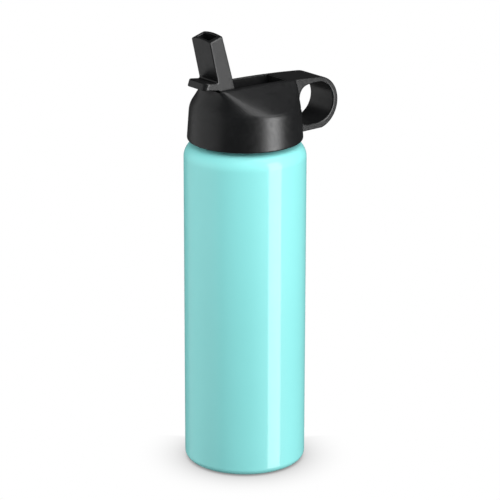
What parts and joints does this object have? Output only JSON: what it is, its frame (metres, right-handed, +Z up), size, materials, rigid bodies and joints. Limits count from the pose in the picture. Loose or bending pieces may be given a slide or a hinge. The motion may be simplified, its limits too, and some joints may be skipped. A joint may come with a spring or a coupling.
{
  "type": "insulated water bottle",
  "caption": "Double-walled steel water bottle with a screw-on straw lid, a flip-up drinking spout and a rigid carry loop.",
  "frame": {"origin": "centre of the flat base, on the bottle's axis, where the bottle stands", "axes": "+Z up along the bottle's axis, +X from the axis towards the carry loop, so the raised spout leans towards -X"},
  "size_m": [0.1016, 0.073, 0.2696],
  "materials": {
    "painted_shell": "smooth satin-gloss mint powder coat",
    "liner_steel": "electropolished inside, bare rolled lip",
    "bare_steel": "fine brushed",
    "copper_foil": "thin bright copper foil",
    "sealing_glass": "fused dark glass solder",
    "getter_alloy": "sintered, matt",
    "black_plastic": "moulded satin black with a fine spark texture",
    "insert_plastic": "moulded black, smoother than the cap",
    "silicone_rubber": "soft grey silicone",
    "straw_plastic": "frosted extruded tube"
  },
  "bodies": {
    "bottle": {"outer_shell": "painted_shell", "inner_liner": "liner_steel", "copper_wrap": "copper_foil", "outer_bottom": "bare_steel", "vacuum_seal": "sealing_glass", "getter": "getter_alloy", "base_cover": "bare_steel"},
    "gasket": {"lid_gasket": "silicone_rubber"},
    "seal_ring": {"cap_seal_ring": "silicone_rubber"},
    "lid": {"cap_body": "black_plastic", "thread_insert": "insert_plastic", "straw_adapter": "insert_plastic", "adapter_oring": "silicone_rubber", "spout_seal": "silicone_rubber", "vent_valve": "silicone_rubber", "spout_pin_far": "bare_steel", "spout_pin_near": "bare_steel"},
    "spout": {"spout": "black_plastic"},
    "straw": {"straw": "straw_plastic"}
  },
  "joints": [
    {"name": "lid_lift_off", "type": "slide", "parent": "bottle", "child": "gasket", "axis": [0, 0, 1], "range_m": [0, 0.215]},
    {"name": "lid_rise", "type": "slide", "parent": "gasket", "child": "seal_ring", "axis": [0, 0, 1], "range_m": [0, 0.004]},
    {"name": "lid_turn", "type": "hinge", "parent": "seal_ring", "child": "lid", "pos_m": [0, 0, 0.2173], "axis": [0, 0, 1], "range_deg": [0, 360]},
    {"name": "spout_flip", "type": "hinge", "parent": "lid", "child": "spout", "pos_m": [-0.019, 0, 0.232], "axis": [0, 1, 0], "range_deg": [0, 105]},
    {"name": "straw_pull", "type": "slide", "parent": "lid", "child": "straw", "axis": [0, 0, -1], "range_m": [0, 0.009]}
  ],
  "couplings": [
    {"joint": "lid_rise", "follows": "lid_turn", "m_per_rad": 0.00063662}
  ]
}
